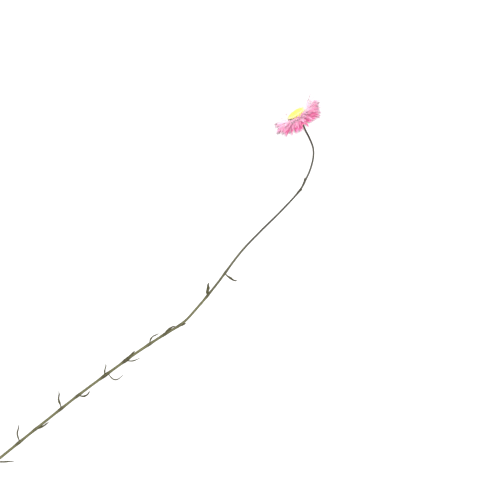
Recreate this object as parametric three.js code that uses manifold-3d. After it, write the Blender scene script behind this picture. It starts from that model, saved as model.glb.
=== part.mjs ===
// A dried paper daisy: one cut stem with its shrivelled narrow leaves and one everlasting bloom, lying
// down. Millimetres. +Z is up, the surface it lies on is z = 0, +X runs along the stem towards the bloom,
// and the origin is the middle of the footprint.
import * as THREE from "three";
import { mergeVertices } from "three/addons/utils/BufferGeometryUtils.js";
import Module from "manifold-3d";

const wasm = await Module();
wasm.setup();

const DEGREE = Math.PI / 180;
const GOLDEN_ANGLE = 137.5 * DEGREE;
const GAP = 0.3; // clearance between neighbouring pieces

// The stem's middle line from the cut end to the bloom: x, y, and how far it lifts off the surface.
const STEM_ROUTE = [
  [-226.2, 15.9, 0],
  [-180, 9.2, 0],
  [-136.5, 3.5, 1.2],
  [-93.6, -2.8, 2],
  [-61.5, -8.6, 1.6],
  [-34.8, -13.7, 0.7],
  [-10.1, -19.5, 0],
  [10.3, -24.8, 0],
  [28.1, -24.9, 0.3],
  [52.8, -23.2, 0.7],
  [88.4, -19.2, 0.4],
  [113.5, -19.3, 0],
  [137.4, -20.2, 0],
  [161.8, -19.4, 0.6],
  [170, -17, 1.2],
  [177.7, -14.5, 2.4],
  [188.5, -8.5, 5.6],
  [194, -2.8, 8.2],
  [197.4, 4.5, 11.8],
  [199.6, 11.2, 14.9],
  [202.4, 18.5, 18.3],
];
const STEM_SIDES = 8;
const STEM_STEPS = 88;
const STEM_RADIUS_CUT = 1;
const STEM_RADIUS_NECK = 0.58;
const STEM_THINS_OVER = 280; // length of stem, back from the bloom, that thins towards it
const JOINT_SWELLING = 0.24;
const JOINT_HALF_LENGTH = 3.2;

// The bloom's axis: its heading from +X, and how far its face looks up.
const BLOOM_HEADING = 78 * DEGREE;
const BLOOM_RISE = 18 * DEGREE;

// Half sections of the bloom, as radius and height along its axis, counted from the end of the stem.
const RECEPTACLE_RADIUS = 5.6;
const RECEPTACLE_TOP = 5.2;
const RECEPTACLE_FLANK = [
  [0.62, -0.6],
  [1.3, 0.5],
  [3.0, 1.6],
  [4.8, 3.1],
  [RECEPTACLE_RADIUS, RECEPTACLE_TOP],
];
const BLOOM_SIDES = 18; // flat sides of everything that is turned round the bloom's axis
const COLLAR_WALL = 1; // thickness of the tissue that carries the bracts and scales
const COLLAR_CLEARANCE = 0.45; // from the flank, measured straight out
const SCALE_COLLAR_SPAN = [0.5, 2.3]; // heights on the flank
const BRACT_COLLAR_SPAN = [2.6, 5.1];
const DISC_BASE = RECEPTACLE_TOP + GAP;
const DISC_RADIUS = 7.7;
const DISC_RIM_HEIGHT = 9.2;
const DISC_CROWN_HEIGHT = 10.2;
const DISC_SECTION = [
  [0, DISC_BASE],
  [4.8, DISC_BASE],
  [6.2, 0.5 * (DISC_BASE + DISC_RIM_HEIGHT)],
  [DISC_RADIUS, DISC_RIM_HEIGHT],
  [0.55 * DISC_RADIUS, DISC_CROWN_HEIGHT - 0.15],
  [0, DISC_CROWN_HEIGHT],
];
const FLORET_COUNT = 62;
const FLORET_SIDES = 5;
const FLORET_RADIUS = 0.94;
const FLORET_TOP_RADIUS = 0.52;
const FLORET_STANDS_OUT = 0.75;
const FLORET_RING_RADIUS = 7.35; // middle of the outermost florets
const FLORET_RIM_TILT = 26 * DEGREE; // how far the outermost florets lean out

const BRACT_THICKNESS = 0.6;
const LEAF_THICKNESS = 0.6;

// The whorls of pink bracts from the face to the back. root is the radius and height where a bract starts,
// slopes how steeply it stands above the plane of the bloom at its root and tip, in degrees; phase turns a
// whorl by a share of its own spacing, rows is how many steps a bract bends in, and short is the number of a
// bract that stayed short, where the stem shows.
const BRACT_WHORLS = [
  { count: 21, root: [6.2, 4.9], length: 17.4, width: 3.8, slopes: [44, -10], phase: 0, rows: 5 },
  { count: 22, root: [6.1, 4.2], length: 17.8, width: 3.8, slopes: [27, -22], phase: 0.5, rows: 5 },
  { count: 20, root: [5.8, 3.5], length: 15.2, width: 3.8, slopes: [8, -38], phase: 0.5, rows: 4, short: 5 },
  { count: 15, root: [5.4, 2.9], length: 10.8, width: 3.5, slopes: [-12, -54], phase: 0.7, rows: 4, short: 3 },
];
const SHORT_SHARE = 0.65; // length of a bract that stayed short, as a share of its whorl's
const PRESSED_FLAT = 15; // degrees that the bracts under the bloom are bent back by the surface it lies on
// A bract's width at its claw and tip as shares of its greatest, where it is widest, and how far its point
// stands out over its corners, as a share of its length.
const BRACT_SHAPE = { claw: 0.4, widestAt: 0.62, tip: 0.42, point: 0.13 };
const BRACT_CUP = 0.16; // how far a bract's edges stand above its middle, per half width
// How far bracts differ: turn as a share of the spacing, length and width as shares of their own, lean and
// roll in degrees, cup per half width, and sway as a share of the length.
const BRACT_SPREAD = { turn: 0.36, lean: 16, length: 0.18, width: 0.3, roll: 30, cup: 0.3, sway: 0.12 };
// The straw-coloured scales that clasp the base of the bloom, in the same terms.
const SCALE_WHORLS = [
  { count: 13, root: [4.2, 1.6], length: 5.4, width: 2.8, slopes: [-14, -48], phase: 0, rows: 3 },
  { count: 9, root: [3.2, 0.9], length: 4.2, width: 2.4, slopes: [-24, -58], phase: 0.5, rows: 3 },
];

// Leaves that stand clear of the stem in plain view. at is the distance from the bloom along the stem,
// side the direction round the stem (0 is up, 90 is left when looking towards the bloom), leave and bend
// the angles from the stem at the leaf's root and how much it turns by its tip, and wave how far it swings
// to and fro on the way, all in degrees.
const CLEAR_LEAVES = [
  { at: 56.5, side: 85, length: 3.8, width: 1.1, leave: 26, bend: -22, wave: 0 },
  { at: 66, side: -75, length: 3.6, width: 1.1, leave: 26, bend: -20, wave: 0 },
  { at: 159, side: -84, length: 13.4, width: 1.7, leave: 112, bend: -48, wave: 0 },
  { at: 183.5, side: 82, length: 11.4, width: 2.5, leave: 42, bend: -16, wave: 0 },
  { at: 219, side: -75, length: 6.6, width: 1.6, leave: 18, bend: -6, wave: 0 },
  { at: 233, side: 76, length: 11.8, width: 2.3, leave: 24, bend: -38, wave: 0 },
  { at: 272, side: 40, length: 11.0, width: 2.4, leave: 24, bend: -14, wave: 10 },
  { at: 292, side: -80, length: 17.0, width: 1.2, leave: 62, bend: -44, wave: 34 },
];
// A leaf's width at its root and tip as shares of its greatest, and where it is widest.
const LEAF_SHAPE = { root: 0.75, widestAt: 0.35, tip: 0.2 };
// The leaves of the lower stem follow one another round it, and grow longer towards the cut end.
const LOWER_LEAVES = { count: 9, first: 252, last: 436, shortest: 9, longest: 22, width: 1.6, side: 70 };

// A small repeatable random number generator: calls give 0 to 1.
function seededRandom(seed) {
  let state = seed;
  return () => {
    state = (state + 0x6d2b79f5) | 0;
    let mixed = Math.imul(state ^ (state >>> 15), 1 | state);
    mixed = (mixed + Math.imul(mixed ^ (mixed >>> 7), 61 | mixed)) ^ mixed;
    return ((mixed ^ (mixed >>> 14)) >>> 0) / 4294967296;
  };
}

function smoothStep(share) {
  const t = THREE.MathUtils.clamp(share, 0, 1);
  return t * t * (3 - 2 * t);
}

// A closed geometry as a solid that can be joined and cut.
function solidOf(geometry) {
  const bare = geometry.clone();
  bare.deleteAttribute("normal");
  bare.deleteAttribute("uv");
  const merged = mergeVertices(bare, 1e-4);
  return new wasm.Manifold(
    new wasm.Mesh({
      numProp: 3,
      vertProperties: new Float32Array(merged.attributes.position.array),
      triVerts: new Uint32Array(merged.index.array),
    }),
  );
}

function joined(solids) {
  return solids.reduce((whole, solid) => whole.add(solid));
}

// The largest body of a joined solid: loose scraps are dropped and sealed hollows filled.
function largestBody(solid) {
  return solid.decompose().reduce((best, body) => (body.volume() > best.volume() ? body : best));
}

function geometryOf(solid) {
  const { numProp, vertProperties, triVerts } = solid.getMesh();
  const positions = new Float32Array((vertProperties.length / numProp) * 3);
  for (let i = 0; i < positions.length / 3; i++) {
    positions.set(vertProperties.subarray(i * numProp, i * numProp + 3), i * 3);
  }
  const geometry = new THREE.BufferGeometry();
  geometry.setAttribute("position", new THREE.BufferAttribute(positions, 3));
  geometry.setIndex(new THREE.BufferAttribute(new Uint32Array(triVerts), 1));
  geometry.computeVertexNormals();
  return geometry;
}

function namedMesh(name, solid, material) {
  const mesh = new THREE.Mesh(geometryOf(largestBody(solid)), material);
  mesh.name = name;
  return mesh;
}

// A flat grid bent into a blade and given a thickness, with both faces split into triangles alike.
// surface(across, along) gives the middle surface; across runs from -1 to 1 and along from 0 to 1.
function blade(columns, rows, thickness, surface) {
  const grid = new THREE.PlaneGeometry(2, 1, columns, rows);
  const flat = grid.attributes.position;
  for (let i = 0; i < flat.count; i++) {
    const bent = surface(flat.getX(i), flat.getY(i) + 0.5);
    flat.setXYZ(i, bent.x, bent.y, bent.z);
  }
  grid.computeVertexNormals();
  const normals = grid.attributes.normal;
  const half = flat.count;
  const positions = [];
  for (const side of [0.5, -0.5]) {
    for (let i = 0; i < half; i++) {
      positions.push(
        flat.getX(i) + normals.getX(i) * side * thickness,
        flat.getY(i) + normals.getY(i) * side * thickness,
        flat.getZ(i) + normals.getZ(i) * side * thickness,
      );
    }
  }
  const faces = [...grid.index.array];
  for (let i = 0; i < grid.index.count; i += 3) {
    const [a, b, c] = grid.index.array.slice(i, i + 3);
    faces.push(half + a, half + c, half + b);
  }
  for (const [a, b] of outlineEdges(columns, rows)) {
    faces.push(b, a, half + a, b, half + a, half + b);
  }
  const solid = new THREE.BufferGeometry();
  solid.setAttribute("position", new THREE.Float32BufferAttribute(positions, 3));
  solid.setIndex(faces);
  return solid;
}

// The edges of a grid's outline, as pairs of vertex numbers that run counter-clockwise seen from its front.
function outlineEdges(columns, rows) {
  const at = (column, row) => row * (columns + 1) + column;
  const edges = [];
  for (let row = 0; row < rows; row++) {
    edges.push([at(0, row), at(0, row + 1)], [at(columns, row + 1), at(columns, row)]);
  }
  for (let column = 0; column < columns; column++) {
    edges.push([at(column, rows), at(column + 1, rows)], [at(column + 1, 0), at(column, 0)]);
  }
  return edges;
}

// The stem's middle line, with its radius and the directions across it at a share of its length.
const route = new THREE.CatmullRomCurve3(STEM_ROUTE.map((point) => new THREE.Vector3(...point)));
route.arcLengthDivisions = 1000;
const stemLength = route.getLength();
const UP = new THREE.Vector3(0, 0, 1);
const LYING = Math.cos(Math.PI / STEM_SIDES); // height of the middle line over a flat side, per radius

function lowerLeaves() {
  const random = seededRandom(7);
  const { count, first, last, shortest, longest, width, side } = LOWER_LEAVES;
  return Array.from({ length: count }, (_, i) => {
    const share = i / (count - 1);
    return {
      at: THREE.MathUtils.lerp(first, last, share) + 6 * (random() - 0.5),
      side: side * (i % 2 ? -1 : 1) + 40 * (random() - 0.5),
      length: THREE.MathUtils.lerp(shortest, longest, share * 0.6 + 0.4 * random()),
      width: width * (0.8 + 0.4 * random()),
      leave: 12 + 36 * random(),
      bend: -80 + 130 * random(),
      wave: 40 * random(),
    };
  });
}

const leaves = [...CLEAR_LEAVES, ...lowerLeaves()];

function stemRadius(distance) {
  const thick = smoothStep((stemLength - distance) / STEM_THINS_OVER);
  let radius = THREE.MathUtils.lerp(STEM_RADIUS_NECK, STEM_RADIUS_CUT, thick);
  for (const leaf of leaves) {
    const away = (distance - (stemLength - leaf.at)) / JOINT_HALF_LENGTH;
    radius += JOINT_SWELLING * radius * Math.exp(-away * away);
  }
  return radius;
}

function stemFrame(distance) {
  const share = THREE.MathUtils.clamp(distance / stemLength, 0, 1);
  const radius = stemRadius(distance);
  const centre = route.getPointAt(share);
  centre.z = Math.max(centre.z, 0) + radius * LYING;
  const along = route.getTangentAt(share);
  const right = along.clone().cross(UP).normalize();
  const over = right.clone().cross(along);
  return { centre, along, right, over, radius };
}

// The round stem: a cylinder bent along the route, one of its sides facing down.
function stemTube() {
  const tube = new THREE.CylinderGeometry(1, 1, 1, STEM_SIDES, STEM_STEPS, false, Math.PI / STEM_SIDES);
  const points = tube.attributes.position;
  for (let i = 0; i < points.count; i++) {
    const { centre, right, over, radius } = stemFrame((points.getY(i) + 0.5) * stemLength);
    centre.addScaledVector(right, points.getX(i) * radius).addScaledVector(over, points.getZ(i) * radius);
    points.setXYZ(i, centre.x, centre.y, centre.z);
  }
  return solidOf(tube);
}

function leafTaper(share) {
  const { root, widestAt, tip } = LEAF_SHAPE;
  return share < widestAt
    ? THREE.MathUtils.lerp(root, 1, share / widestAt)
    : THREE.MathUtils.lerp(1, tip, ((share - widestAt) / (1 - widestAt)) ** 2);
}

// A narrow dry leaf: it leaves the stem at its joint, bends away or back, and keeps off the surface below.
function leafBlade(leaf) {
  const { centre, along, right, over } = stemFrame(stemLength - leaf.at);
  const out = over.clone().multiplyScalar(Math.cos(leaf.side * DEGREE));
  out.addScaledVector(right, -Math.sin(leaf.side * DEGREE));
  const across = out.clone().cross(along).normalize();
  const spine = (share) => {
    const steps = 12;
    const point = centre.clone();
    for (let i = 0; i < steps; i++) {
      const gone = (share * (i + 0.5)) / steps;
      const angle = (leaf.leave + leaf.bend * gone + leaf.wave * Math.sin(2 * Math.PI * gone)) * DEGREE;
      const step = (leaf.length * share) / steps;
      point.addScaledVector(along, Math.cos(angle) * step).addScaledVector(out, Math.sin(angle) * step);
    }
    return point;
  };
  return blade(2, 6, LEAF_THICKNESS, (side, share) => {
    const point = spine(share);
    point.addScaledVector(across, side * 0.5 * leaf.width * leafTaper(share));
    point.z = Math.max(point.z, LEAF_THICKNESS);
    return point;
  });
}

// The receptacle's half section, whose flank also sets the inside of the collars round it.
function flankRadius(height) {
  const flank = RECEPTACLE_FLANK;
  const above = flank.findIndex(([, z]) => z >= height);
  const [r0, z0] = flank[above - 1];
  const [r1, z1] = flank[above];
  return THREE.MathUtils.lerp(r0, r1, (height - z0) / (z1 - z0));
}

function receptacle() {
  return turned([[0, RECEPTACLE_FLANK[0][1]], ...RECEPTACLE_FLANK, [0, RECEPTACLE_TOP]]);
}

// A ring that follows the receptacle's flank at the usual gap.
function collar([low, high]) {
  const heights = [0, 0.5, 1].map((share) => THREE.MathUtils.lerp(low, high, share));
  const inner = heights.map((height) => [flankRadius(height) + COLLAR_CLEARANCE, height - GAP]);
  const outer = inner.map(([radius, height]) => [radius + COLLAR_WALL, height]);
  return turned([outer.at(-1), ...inner.toReversed(), ...outer]);
}

// The width of a bract from its claw to its pointed tip, as a share of its greatest width.
function bractTaper(share) {
  const { claw, widestAt, tip } = BRACT_SHAPE;
  return share < widestAt
    ? THREE.MathUtils.lerp(claw, 1, smoothStep(share / widestAt))
    : THREE.MathUtils.lerp(1, tip, ((share - widestAt) / (1 - widestAt)) ** 1.5);
}

// One papery bract in the bloom's own frame.
function bractBlade({ turn, root, length, width, slopes, roll, cup, sway, rows }) {
  const radial = new THREE.Vector3(Math.cos(turn), Math.sin(turn), 0);
  const round = new THREE.Vector3(Math.sin(turn), -Math.cos(turn), 0);
  return blade(2, rows, BRACT_THICKNESS, (side, share) => {
    const pointed = share === 1 ? 1 - BRACT_SHAPE.point * Math.abs(side) : share;
    const steps = 10;
    const point = radial.clone().multiplyScalar(root[0]).setZ(root[1]);
    let slope = slopes[0] * DEGREE;
    for (let i = 0; i < steps; i++) {
      slope = THREE.MathUtils.lerp(slopes[0], slopes[1], (pointed * (i + 0.5)) / steps) * DEGREE;
      point.addScaledVector(radial, (Math.cos(slope) * length * pointed) / steps);
      point.z += (Math.sin(slope) * length * pointed) / steps;
    }
    const reach = 0.5 * width * bractTaper(pointed) * side;
    const face = radial.clone().multiplyScalar(-Math.sin(slope)).setZ(Math.cos(slope));
    const tilt = roll * pointed;
    point.addScaledVector(round, reach * Math.cos(tilt) + sway * pointed * pointed * length);
    point.addScaledVector(face, reach * Math.sin(tilt) + cup * Math.abs(reach));
    return point;
  });
}

// All the blades of the given whorls, each a little different from its neighbours.
function whorlBlades(whorls, pressed, seed) {
  const random = seededRandom(seed);
  const spread = (kind) => BRACT_SPREAD[kind] * (random() - 0.5);
  const blades = [];
  for (const whorl of whorls) {
    for (let i = 0; i < whorl.count; i++) {
      const turn = ((i + whorl.phase + spread("turn")) / whorl.count) * 2 * Math.PI;
      const lean = spread("lean") - pressed * Math.max(0, -Math.sin(turn));
      blades.push(
        bractBlade({
          turn,
          root: whorl.root,
          length: whorl.length * (1 + spread("length")) * (i === whorl.short ? SHORT_SHARE : 1),
          width: whorl.width * (1 + spread("width")),
          slopes: [whorl.slopes[0] + 0.5 * lean, whorl.slopes[1] + lean],
          roll: spread("roll") * DEGREE,
          cup: BRACT_CUP + spread("cup"),
          sway: spread("sway"),
          rows: whorl.rows,
        }),
      );
    }
  }
  return blades.map(solidOf);
}

// A half section turned round the bloom's axis.
function turned(section) {
  const points = section.map((point) => new THREE.Vector2(...point));
  return new THREE.LatheGeometry(points, BLOOM_SIDES).rotateX(Math.PI / 2);
}

// The disc: florets packed in a spiral on a low dome that widens from the top of the receptacle.
function discOfFlorets() {
  const florets = Array.from({ length: FLORET_COUNT }, (_, i) => {
    const share = Math.sqrt((i + 0.5) / FLORET_COUNT);
    const height = THREE.MathUtils.lerp(DISC_CROWN_HEIGHT, DISC_RIM_HEIGHT, share * share);
    return solidOf(
      new THREE.CylinderGeometry(FLORET_TOP_RADIUS, FLORET_RADIUS, 2 * FLORET_STANDS_OUT, FLORET_SIDES)
        .rotateX(Math.PI / 2)
        .rotateY(FLORET_RIM_TILT * share * share)
        .translate(FLORET_RING_RADIUS * share, 0, height)
        .rotateZ(i * GOLDEN_ANGLE),
    );
  });
  return joined([solidOf(turned(DISC_SECTION)), ...florets]);
}

// The bloom's own frame: its axis is +Z there, with the end of the stem at the origin.
function bloomFrame() {
  const axis = new THREE.Vector3(Math.cos(BLOOM_HEADING), Math.sin(BLOOM_HEADING), Math.tan(BLOOM_RISE));
  axis.normalize();
  const across = UP.clone().cross(axis).normalize();
  const upward = axis.clone().cross(across);
  return new THREE.Matrix4().makeBasis(across, upward, axis).setPosition(stemFrame(stemLength).centre);
}

// What lies under the surface, in the bloom's own frame: bract ends that meet the surface lie flat on it.
function underSurface(frame) {
  const { centre } = stemFrame(stemLength);
  const block = new THREE.BoxGeometry(200, 200, 30).translate(centre.x, centre.y, -15);
  return solidOf(block.applyMatrix4(frame.clone().invert()));
}

// A ring of tissue with its whorls of blades.
function whorledRing(span, whorls, pressed, seed) {
  return joined([solidOf(collar(span)), ...whorlBlades(whorls, pressed, seed)]);
}

const stemGreen = new THREE.MeshStandardMaterial({ color: 0x7d7f55, roughness: 0.8, metalness: 0 });
const bractPink = new THREE.MeshStandardMaterial({ color: 0xe888b4, roughness: 0.6, metalness: 0 });
const scaleStraw = new THREE.MeshStandardMaterial({ color: 0xb9a878, roughness: 0.7, metalness: 0 });
const discYellow = new THREE.MeshStandardMaterial({ color: 0xe9dc3c, roughness: 0.85, metalness: 0 });

const frame = bloomFrame();
const bracts = whorledRing(BRACT_COLLAR_SPAN, BRACT_WHORLS, PRESSED_FLAT, 11).subtract(underSurface(frame));
const scales = whorledRing(SCALE_COLLAR_SPAN, SCALE_WHORLS, 0, 23);
const leafyStem = joined([
  stemTube(),
  solidOf(receptacle().applyMatrix4(frame)),
  ...leaves.map((leaf) => solidOf(leafBlade(leaf))),
]);

const bloom = new THREE.Group();
bloom.applyMatrix4(frame);
bloom.add(
  namedMesh("pink_bracts", bracts, bractPink),
  namedMesh("base_scales", scales, scaleStraw),
  namedMesh("disc_florets", discOfFlorets(), discYellow),
);

const paperDaisy = new THREE.Group();
paperDaisy.add(namedMesh("leafy_stem", leafyStem, stemGreen), bloom);

export default paperDaisy;
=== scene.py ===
"""A dried paper daisy that lies down: a thin bent stem with shrivelled leaves and a pink everlasting bloom.

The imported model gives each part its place. Its four nodes are dressed with finer pieces that follow the same
rules as the solids: the stem's route, the joints of its leaves, and the whorls of bracts with their seeded
spread. The modelling is in millimetres, and a finished piece is in metres.
"""

import logging
import math
from contextlib import contextmanager
from dataclasses import dataclass, field
from enum import Enum
from functools import partial
from typing import Any, Callable, Iterator, Optional, Sequence

import bmesh
import bpy
import numpy as np
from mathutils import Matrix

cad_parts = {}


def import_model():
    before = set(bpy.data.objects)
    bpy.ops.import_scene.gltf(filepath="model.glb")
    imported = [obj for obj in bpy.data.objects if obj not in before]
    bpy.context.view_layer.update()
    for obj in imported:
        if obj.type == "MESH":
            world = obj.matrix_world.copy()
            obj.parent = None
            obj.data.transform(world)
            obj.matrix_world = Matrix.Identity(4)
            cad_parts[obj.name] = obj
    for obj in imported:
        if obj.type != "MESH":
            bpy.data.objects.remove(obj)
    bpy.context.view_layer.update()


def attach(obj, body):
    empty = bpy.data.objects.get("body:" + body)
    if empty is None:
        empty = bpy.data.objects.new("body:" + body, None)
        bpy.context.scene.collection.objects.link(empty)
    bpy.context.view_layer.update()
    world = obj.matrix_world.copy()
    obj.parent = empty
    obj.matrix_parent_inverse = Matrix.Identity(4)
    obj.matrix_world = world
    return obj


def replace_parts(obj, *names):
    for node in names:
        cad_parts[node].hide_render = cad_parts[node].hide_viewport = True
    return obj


log = logging.getLogger("paper_daisy")

MM = 0.001
BODY = "root"
FULL_TURN = 2 * math.pi
GOLDEN_ANGLE = math.radians(137.5)
GOLDEN_SHARE = 0.618
UP = np.array([0.0, 0.0, 1.0])
SHORT_SHARE = 0.65  # length of a bract that stayed short, as a share of its whorl's
SAME_PLACE = 1e-6  # how near two heights count as one
LOWEST = 0.01  # how far thin sheets keep off the surface, in millimetres

Pair = tuple[float, float]
Place = tuple[float, float, float]
Colour = tuple[float, float, float, float]
Socket = bpy.types.NodeSocket
WHITE: Colour = (1.0, 1.0, 1.0, 1.0)


class Slot(Enum):
    """The record's material slots."""

    STEM = "dried_stem"
    PINK = "papery_pink"
    STRAW = "papery_straw"
    YELLOW = "floret_yellow"


# Small sums


def display(red: int, green: int, blue: int) -> Colour:
    """A colour as a screen shows it, turned into the linear one that a shader takes.

    Args:
        red, green, blue: the channels, 0 to 255 each.

    Returns:
        The linear colour.
    """
    shown = (red / 255, green / 255, blue / 255)
    return (*(v / 12.92 if v <= 0.04045 else ((v + 0.055) / 1.055) ** 2.4 for v in shown), 1.0)


def smooth(share: np.ndarray) -> np.ndarray:
    """An S curve from 0 to 1, held flat outside."""
    held = np.clip(share, 0.0, 1.0)
    return held * held * (3 - 2 * held)


def lerp(first: Any, last: Any, share: Any) -> Any:
    """The value at a share of the way from first to last."""
    return first + (last - first) * share


def unit(vectors: np.ndarray) -> np.ndarray:
    """Vectors at length one."""
    return vectors / np.linalg.norm(vectors, axis=-1, keepdims=True)


def steps_to(share: np.ndarray, steps: int) -> np.ndarray:
    """The middles of even steps on the way to each share of a blade's length."""
    return share[:, None] * (np.arange(steps) + 0.5) / steps


def walked(slopes: np.ndarray, reach: np.ndarray) -> tuple[np.ndarray, np.ndarray]:
    """How far forth and how high the points of a blade get, by the slopes of the steps and the whole way."""
    run = reach[:, None] / slopes.shape[1]
    return (np.cos(slopes) * run).sum(1), (np.sin(slopes) * run).sum(1)


@dataclass(frozen=True)
class Wave:
    """A small wave: its height, and how many radians it goes through in one unit of its place."""

    height: float
    radians: float

    def at(self, place: np.ndarray, start: float) -> np.ndarray:
        """The wave at each place, from a start between 0 and 1."""
        return self.height * np.sin(place * self.radians + start * 6)


class SolidsRandom:
    """The repeatable numbers that the solids were spread with, so that pieces fall in the same places."""

    MASK = 0xFFFFFFFF

    def __init__(self, seed: int) -> None:
        """Starts the row of numbers at a seed."""
        self.state = seed

    def random(self) -> float:
        """The next number, from 0 to 1.

        Returns:
            The number.
        """
        self.state = (self.state + 0x6D2B79F5) & self.MASK
        mixed = ((self.state ^ (self.state >> 15)) * (1 | self.state)) & self.MASK
        added = ((mixed ^ (mixed >> 7)) * (61 | mixed)) & self.MASK
        mixed = ((mixed + added) & self.MASK) ^ mixed
        return (mixed ^ (mixed >> 14)) / (self.MASK + 1)


Random = np.random.Generator | SolidsRandom


def above(random: Random, low: float, spread: float) -> float:
    """A number by chance, from low to low plus the spread."""
    return low + spread * random.random()


def about(random: Random, spread: float) -> float:
    """A number by chance, up to half the spread to either side of nought."""
    return spread * (random.random() - 0.5)


# The bench: modelling with Blender's own tools


def deselect_everything() -> None:
    """Leaves nothing selected."""
    bpy.ops.object.select_all(action="DESELECT")


def lies_at(edge: Any, height: float) -> bool:
    """Whether an edge lies wholly at one height."""
    return all(abs(point.co.z - height) < SAME_PLACE for point in edge.verts)


def runs_upwards(edge: Any) -> bool:
    """Whether an edge's ends are at different heights."""
    return abs(edge.verts[0].co.z - edge.verts[1].co.z) > SAME_PLACE


@dataclass
class Workpiece:
    """A mesh on the bench, in millimetres until it is finished."""

    obj: bpy.types.Object

    @classmethod
    def begun(cls, name: str) -> "Workpiece":
        """Takes over the primitive that was just added.

        Args:
            name: its name from now on.

        Returns:
            The workpiece.
        """
        piece = cls(bpy.context.object)
        piece.rename(name)
        return piece

    def rename(self, name: str) -> None:
        """Names the object and its mesh."""
        self.obj.name = self.obj.data.name = name

    def points(self) -> np.ndarray:
        """Reads the mesh.

        Returns:
            The places of its points.
        """
        found = np.empty(len(self.obj.data.vertices) * 3, np.float32)
        self.obj.data.vertices.foreach_get("co", found)
        return found.reshape(-1, 3).astype(float)

    def place(self, points: np.ndarray) -> None:
        """Moves its points."""
        self.obj.data.vertices.foreach_set("co", points.astype(np.float32).ravel())
        self.obj.data.update()

    def lift(self, height: float) -> None:
        """Moves it up."""
        self.place(self.points() + (0, 0, height))

    def mark(self, name: str, *numbers: Any) -> None:
        """Writes a vector at each point, which the finish reads.

        Args:
            name: the vector's name.
            numbers: its three numbers, each one for all points or one for every point.
        """
        layer = self.obj.data.attributes.new(name, "FLOAT_VECTOR", "POINT")
        values = np.column_stack([np.broadcast_to(number, len(layer.data)) for number in numbers])
        layer.data.foreach_set("vector", values.astype(np.float32).ravel())

    def copy(self) -> "Workpiece":
        """A copy with its own mesh.

        Returns:
            The copy.
        """
        twin = self.obj.copy()
        twin.data = self.obj.data.copy()
        bpy.context.collection.objects.link(twin)
        return Workpiece(twin)

    def discard(self) -> None:
        """Takes a pattern piece off the bench."""
        bpy.data.objects.remove(self.obj)

    def take_up(self) -> None:
        """Selects this piece alone, for the next tool."""
        deselect_everything()
        self.obj.select_set(True)
        bpy.context.view_layer.objects.active = self.obj

    @contextmanager
    def editing(self) -> Iterator[None]:
        """Edit mode on this piece, with nothing of it selected."""
        self.take_up()
        bpy.ops.object.mode_set(mode="EDIT")
        bpy.ops.mesh.select_all(action="DESELECT")
        yield
        bpy.ops.object.mode_set(mode="OBJECT")

    def select_edges(self, wanted: Callable[[Any], bool]) -> None:
        """Selects, in edit mode, the edges that pass a test, and nothing else.

        Args:
            wanted: the test of one edge.
        """
        bpy.ops.mesh.select_mode(type="EDGE")
        bpy.ops.mesh.select_all(action="DESELECT")
        for edge in bmesh.from_edit_mesh(self.obj.data).edges:
            if wanted(edge):
                edge.select_set(True)
        bmesh.update_edit_mesh(self.obj.data)

    def thicken(self, thickness: float, **settings: Any) -> None:
        """Gives a sheet its thickness, half to each side, and keeps it off the surface that it lies on.

        Args:
            thickness: the thickness.
            settings: the Solidify modifier's other settings.
        """
        self.take_up()
        bpy.ops.object.modifier_add(type="SOLIDIFY")
        modifier = self.obj.modifiers[-1]
        for key, value in {"thickness": thickness, "offset": 0.0, **settings}.items():
            setattr(modifier, key, value)
        bpy.ops.object.modifier_apply(modifier=modifier.name)
        self.keep_above(LOWEST)

    def keep_above(self, height: float) -> None:
        """Lifts the points that are lower than a height up to it.

        Args:
            height: the least height of a point.
        """
        points = self.points()
        points[:, 2] = np.maximum(points[:, 2], height)
        self.place(points)

    def face_outwards(self, merge: float = 1e-4) -> None:
        """Merges doubled points and turns every face outwards.

        Args:
            merge: how near two points are merged.
        """
        with self.editing():
            bpy.ops.mesh.select_all(action="SELECT")
            bpy.ops.mesh.remove_doubles(threshold=merge)
            bpy.ops.mesh.normals_make_consistent(inside=False)

    def finish(self, slot: Slot, angle: float, *finishes: bpy.types.Material) -> bpy.types.Object:
        """Brings the piece to metres, dresses it and sets it on the part.

        Args:
            slot: the record's slot for the piece; not used.
            angle: edges sharper than this, in degrees, stay sharp.
            finishes: its materials, in the order of the faces' material numbers.

        Returns:
            The finished object.
        """
        self.place(self.points() * MM)
        for finish in finishes:
            self.obj.data.materials.append(finish)
        self.take_up()
        bpy.ops.object.shade_smooth_by_angle(angle=math.radians(angle))
        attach(self.obj, BODY)
        self.obj.data.calc_loop_triangles()
        log.info("%s: %d triangles", self.obj.name, len(self.obj.data.loop_triangles))
        return self.obj


def joined(name: str, parts: Sequence[Workpiece]) -> Workpiece:
    """Several workpieces as one.

    Args:
        name: the new piece's name.
        parts: the workpieces.

    Returns:
        The joined piece.
    """
    deselect_everything()
    for part in parts:
        part.obj.select_set(True)
    bpy.context.view_layer.objects.active = parts[0].obj
    bpy.ops.object.join()
    parts[0].rename(name)
    return parts[0]


def flat_sheet(name: str, columns: int, rows: int) -> Workpiece:
    """A flat sheet of one unit square, which a blade is bent from."""
    bpy.ops.mesh.primitive_grid_add(x_subdivisions=columns, y_subdivisions=rows, size=1, location=(0, 0, 0))
    return Workpiece.begun(name)


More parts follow.
